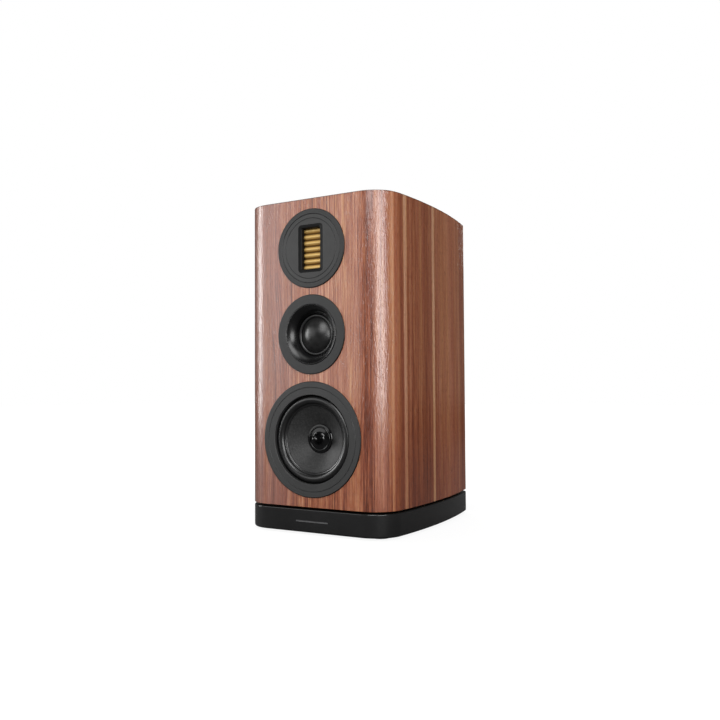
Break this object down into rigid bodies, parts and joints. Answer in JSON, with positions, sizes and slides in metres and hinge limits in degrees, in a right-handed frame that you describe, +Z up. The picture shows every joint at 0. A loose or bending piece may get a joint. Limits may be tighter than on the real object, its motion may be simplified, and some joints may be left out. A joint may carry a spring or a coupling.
{
  "type": "bookshelf speaker",
  "caption": "Three-way bookshelf speaker with a bowed walnut cabinet, pleated tweeter, dome midrange and woven-cone woofer on a gloss black plinth.",
  "frame": {"origin": "on the floor under the middle of the whole width and depth, trim rings and binding-post caps included", "axes": "+Z up, the front with the drivers faces -Y, +X to the right as seen from the front"},
  "size_m": [0.238, 0.3146, 0.455],
  "materials": {
    "mdf": "raw fibreboard, routed edges",
    "walnut_veneer": "satin-lacquered walnut veneer, straight vertical grain",
    "gloss_black_lacquer": "high-gloss black lacquer over board",
    "graphite_trim": "satin graphite coating with fine turned lines",
    "gloss_black_plastic": "polished black moulding",
    "matte_black_plastic": "fine-textured black moulding",
    "dome_cloth": "doped black textile dome",
    "surround_rubber": "satin black rubber roll",
    "cone_weave": "black woven fibre cone with clear binder",
    "cast_frame": "black powder-coated casting",
    "spider_cloth": "impregnated corrugated cloth",
    "voice_coil": "enamelled copper winding on a thin former",
    "motor_steel": "zinc-plated mild steel",
    "ferrite": "dark sintered ferrite",
    "gold_film": "gold pleated film",
    "gold_plate": "gold-plated brass",
    "cap_red": "red fluted moulding",
    "cap_black": "black fluted moulding",
    "foot_rubber": "matt black rubber",
    "black_screw": "blackened steel screw",
    "bolt_steel": "zinc-plated steel",
    "board": "green laminate with solder mask",
    "coil_copper": "enamelled copper wire in close layers",
    "capacitor_case": "wrapped film capacitor",
    "resistor_ceramic": "white ceramic case",
    "lead_insulation": "flexible insulated lead",
    "tinned_tag": "tinned brass tag",
    "badge_metal": "plain brushed bar"
  },
  "bodies": {
    "cabinet": {"front_baffle": "mdf", "side_panels": "mdf", "top_panel": "mdf", "bottom_panel": "mdf", "back_panel": "mdf", "shelf_brace": "mdf", "walnut_wrap": "walnut_veneer", "walnut_top": "walnut_veneer", "walnut_back": "walnut_veneer", "port_tube": "matte_black_plastic", "plinth_body": "gloss_black_lacquer", "plinth_spacers": "matte_black_plastic", "plinth_bolts": "bolt_steel", "rubber_feet": "foot_rubber", "badge_bar": "badge_metal", "tweeter_trim_ring": "graphite_trim", "tweeter_faceplate": "graphite_trim", "tweeter_window_frame": "gloss_black_plastic", "tweeter_diaphragm": "gold_film", "tweeter_magnets": "ferrite", "tweeter_housing": "motor_steel", "tweeter_rear_cup": "matte_black_plastic", "mid_trim_ring": "graphite_trim", "mid_horn": "gloss_black_plastic", "mid_surround": "surround_rubber", "mid_top_plate": "motor_steel", "mid_magnet": "ferrite", "mid_yoke": "motor_steel", "mid_rear_chamber": "matte_black_plastic", "woofer_trim_ring": "graphite_trim", "woofer_basket": "cast_frame", "woofer_surround": "surround_rubber", "woofer_spider": "spider_cloth", "woofer_top_plate": "motor_steel", "woofer_magnet": "ferrite", "woofer_yoke": "motor_steel", "cabinet_screws": "black_screw", "driver_terminals": "tinned_tag", "crossover_board": "board", "crossover_inductors": "coil_copper", "crossover_capacitors": "capacitor_case", "crossover_resistors": "resistor_ceramic", "terminal_plate": "matte_black_plastic", "binding_post_studs": "gold_plate", "binding_post_nuts": "gold_plate", "jumper_links": "gold_plate", "wiring_harness": "lead_insulation"},
    "woofer_cone_assembly": {"woofer_cone": "cone_weave", "woofer_centre_cap": "gloss_black_plastic", "woofer_voice_coil": "voice_coil"},
    "mid_dome_assembly": {"mid_dome": "dome_cloth", "mid_voice_coil": "voice_coil"},
    "washer_hf_negative": {"post_washer_hf_negative": "gold_plate"},
    "cap_hf_negative": {"post_cap_hf_negative": "cap_black"},
    "washer_hf_positive": {"post_washer_hf_positive": "gold_plate"},
    "cap_hf_positive": {"post_cap_hf_positive": "cap_red"},
    "washer_lf_negative": {"post_washer_lf_negative": "gold_plate"},
    "cap_lf_negative": {"post_cap_lf_negative": "cap_black"},
    "washer_lf_positive": {"post_washer_lf_positive": "gold_plate"},
    "cap_lf_positive": {"post_cap_lf_positive": "cap_red"}
  },
  "joints": [
    {"name": "woofer_stroke", "type": "slide", "parent": "cabinet", "child": "woofer_cone_assembly", "axis": [0, -1, 0], "range_m": [-0.005, 0.005], "stiffness_N_per_m": 1200, "deforming": ["woofer_surround", "woofer_spider"]},
    {"name": "mid_stroke", "type": "slide", "parent": "cabinet", "child": "mid_dome_assembly", "axis": [0, -1, 0], "range_m": [-0.0008, 0.0008], "stiffness_N_per_m": 2500, "deforming": ["mid_surround"]},
    {"name": "washer_hf_negative_travel", "type": "slide", "parent": "cabinet", "child": "washer_hf_negative", "axis": [0, 1, 0], "range_m": [0, 0.006]},
    {"name": "cap_hf_negative_turn", "type": "hinge", "parent": "washer_hf_negative", "child": "cap_hf_negative", "pos_m": [-0.022, 0.14865, 0.131], "axis": [0, 1, 0], "range_deg": [0, 2160]},
    {"name": "washer_hf_positive_travel", "type": "slide", "parent": "cabinet", "child": "washer_hf_positive", "axis": [0, 1, 0], "range_m": [0, 0.006]},
    {"name": "cap_hf_positive_turn", "type": "hinge", "parent": "washer_hf_positive", "child": "cap_hf_positive", "pos_m": [0.022, 0.14865, 0.131], "axis": [0, 1, 0], "range_deg": [0, 2160]},
    {"name": "washer_lf_negative_travel", "type": "slide", "parent": "cabinet", "child": "washer_lf_negative", "axis": [0, 1, 0], "range_m": [0, 0.006]},
    {"name": "cap_lf_negative_turn", "type": "hinge", "parent": "washer_lf_negative", "child": "cap_lf_negative", "pos_m": [-0.022, 0.14865, 0.093], "axis": [0, 1, 0], "range_deg": [0, 2160]},
    {"name": "washer_lf_positive_travel", "type": "slide", "parent": "cabinet", "child": "washer_lf_positive", "axis": [0, 1, 0], "range_m": [0, 0.006]},
    {"name": "cap_lf_positive_turn", "type": "hinge", "parent": "washer_lf_positive", "child": "cap_lf_positive", "pos_m": [0.022, 0.14865, 0.093], "axis": [0, 1, 0], "range_deg": [0, 2160]}
  ],
  "couplings": [
    {"joint": "cap_hf_negative_turn", "follows": "washer_hf_negative_travel", "rad_per_m": 6283.2},
    {"joint": "cap_hf_positive_turn", "follows": "washer_hf_positive_travel", "rad_per_m": 6283.2},
    {"joint": "cap_lf_negative_turn", "follows": "washer_lf_negative_travel", "rad_per_m": 6283.2},
    {"joint": "cap_lf_positive_turn", "follows": "washer_lf_positive_travel", "rad_per_m": 6283.2}
  ]
}
